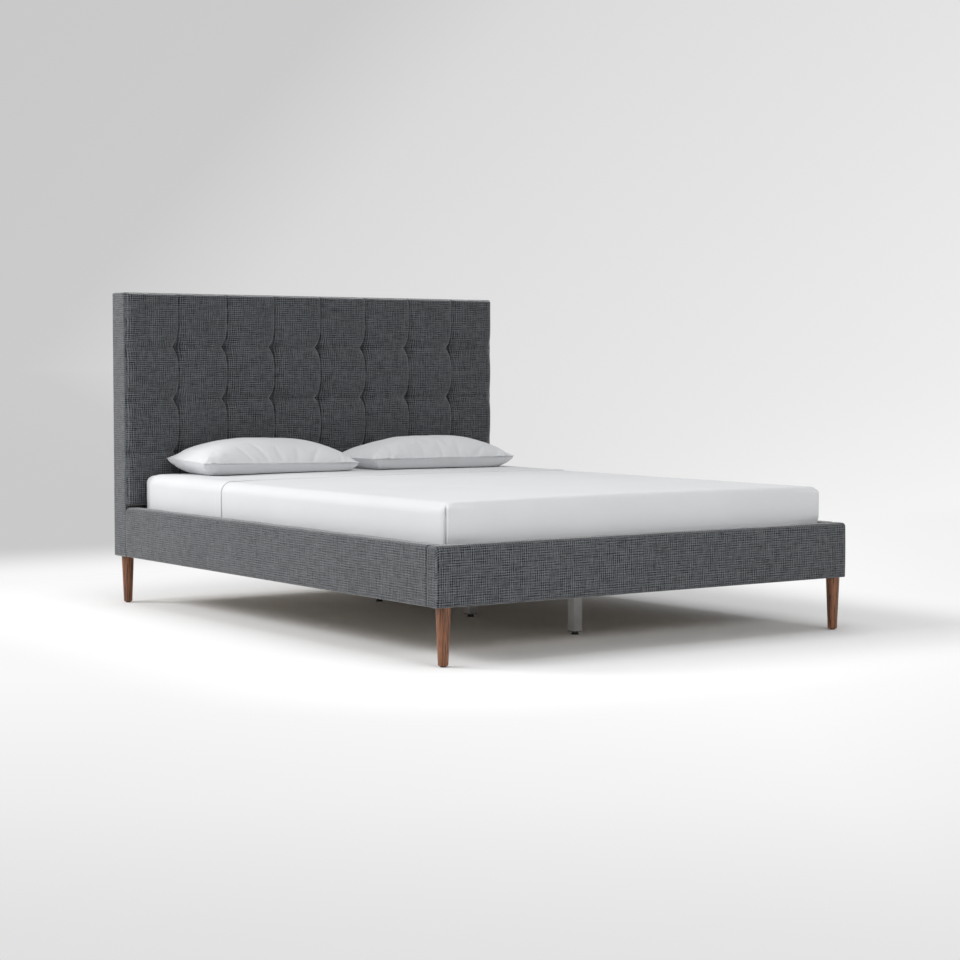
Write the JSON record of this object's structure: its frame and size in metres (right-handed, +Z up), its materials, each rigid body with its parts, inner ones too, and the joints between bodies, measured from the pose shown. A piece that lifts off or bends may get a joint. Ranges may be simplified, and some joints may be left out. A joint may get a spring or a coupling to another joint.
{
  "type": "upholstered headboard bed",
  "caption": "Low upholstered bed with a tall grid-tufted headboard, padded rails, tapered wooden legs, slatted base, mattress, sheets and pillows.",
  "frame": {"origin": "on the floor under the middle of the bed's outline", "axes": "+X to the right seen from the foot, +Y towards the headboard, +Z up"},
  "size_m": [1.675, 2.206, 1.171],
  "materials": {
    "upholstery": "dark slate grey woven upholstery cloth, matt with a soft heather",
    "back_cloth": "plain dark lining cloth",
    "padding": "foam and wadding",
    "frame_wood": "planed pine and plywood",
    "leg_wood": "turned hardwood with a mid-brown stain, satin",
    "support_steel": "light grey powder coat",
    "fitting_steel": "zinc-plated steel",
    "insert_brass": "plain brass",
    "black_plastic": "moulded, matt",
    "webbing": "woven tape and waxed twine",
    "bed_linen": "white percale, smooth and matt",
    "ticking": "white knitted mattress cloth"
  },
  "bodies": {
    "frame": {"headboard_cover": "upholstery", "headboard_band": "upholstery", "apron_cover": "upholstery", "side_rail_cover_left": "upholstery", "side_rail_cover_right": "upholstery", "foot_rail_cover": "upholstery", "headboard_back_cloth": "back_cloth", "headboard_foam": "padding", "side_rail_padding_left": "padding", "side_rail_padding_right": "padding", "foot_rail_padding": "padding", "headboard_post_left": "frame_wood", "headboard_post_right": "frame_wood", "headboard_top_rail": "frame_wood", "headboard_middle_rail": "frame_wood", "headboard_bottom_rail": "frame_wood", "headboard_panel": "frame_wood", "headboard_apron": "frame_wood", "side_rail_board_left": "frame_wood", "side_rail_board_right": "frame_wood", "foot_rail_board": "frame_wood", "slat_ledger_left": "frame_wood", "slat_ledger_right": "frame_wood", "slats": "frame_wood", "centre_beam": "frame_wood", "leg_front_left": "leg_wood", "leg_front_right": "leg_wood", "leg_rear_left": "leg_wood", "leg_rear_right": "leg_wood", "support_leg_foot": "support_steel", "support_leg_middle": "support_steel", "support_leg_head": "support_steel", "corner_brackets": "fitting_steel", "corner_bolts": "fitting_steel", "beam_hanger_foot": "fitting_steel", "beam_hanger_head": "fitting_steel", "hanger_screws": "fitting_steel", "ledger_screws": "fitting_steel", "slat_screws": "fitting_steel", "support_screws": "fitting_steel", "leg_bolts": "fitting_steel", "insert_nuts": "insert_brass", "support_plugs": "black_plastic", "leg_glides": "black_plastic", "tuft_toggles": "black_plastic", "slat_straps": "webbing", "tuft_ties": "webbing"},
    "mattress": {"mattress_core": "ticking", "fitted_sheet": "bed_linen", "flat_sheet": "bed_linen"},
    "pillow_left": {"pillow_left": "bed_linen"},
    "pillow_right": {"pillow_right": "bed_linen"},
    "leveller_foot": {"levelling_pad_foot": "black_plastic"},
    "stem_foot": {"levelling_stem_foot": "fitting_steel"},
    "leveller_middle": {"levelling_pad_middle": "black_plastic"},
    "stem_middle": {"levelling_stem_middle": "fitting_steel"},
    "leveller_head": {"levelling_pad_head": "black_plastic"},
    "stem_head": {"levelling_stem_head": "fitting_steel"}
  },
  "joints": [
    {"name": "mattress_lift", "type": "slide", "parent": "frame", "child": "mattress", "axis": [0, 0, 1], "range_m": [0, 0.35]},
    {"name": "pillow_left_lift", "type": "slide", "parent": "mattress", "child": "pillow_left", "axis": [0, 0, 1], "range_m": [0, 0.3]},
    {"name": "pillow_right_lift", "type": "slide", "parent": "mattress", "child": "pillow_right", "axis": [0, 0, 1], "range_m": [0, 0.3]},
    {"name": "leveller_foot_slide", "type": "slide", "parent": "frame", "child": "leveller_foot", "axis": [0, 0, -1], "range_m": [-0.0021, 0.0201]},
    {"name": "leveller_foot_turn", "type": "hinge", "parent": "leveller_foot", "child": "stem_foot", "pos_m": [0, -0.678, 0.03], "axis": [0, 0, -1], "range_deg": [-480, 4800]},
    {"name": "leveller_middle_slide", "type": "slide", "parent": "frame", "child": "leveller_middle", "axis": [0, 0, -1], "range_m": [-0.0021, 0.0201]},
    {"name": "leveller_middle_turn", "type": "hinge", "parent": "leveller_middle", "child": "stem_middle", "pos_m": [0, -0.066, 0.03], "axis": [0, 0, -1], "range_deg": [-480, 4800]},
    {"name": "leveller_head_slide", "type": "slide", "parent": "frame", "child": "leveller_head", "axis": [0, 0, -1], "range_m": [-0.0021, 0.0201]},
    {"name": "leveller_head_turn", "type": "hinge", "parent": "leveller_head", "child": "stem_head", "pos_m": [0, 0.546, 0.03], "axis": [0, 0, -1], "range_deg": [-480, 4800]}
  ],
  "couplings": [
    {"joint": "leveller_foot_slide", "follows": "leveller_foot_turn", "m_per_rad": 0.00023873},
    {"joint": "leveller_middle_slide", "follows": "leveller_middle_turn", "m_per_rad": 0.00023873},
    {"joint": "leveller_head_slide", "follows": "leveller_head_turn", "m_per_rad": 0.00023873}
  ]
}
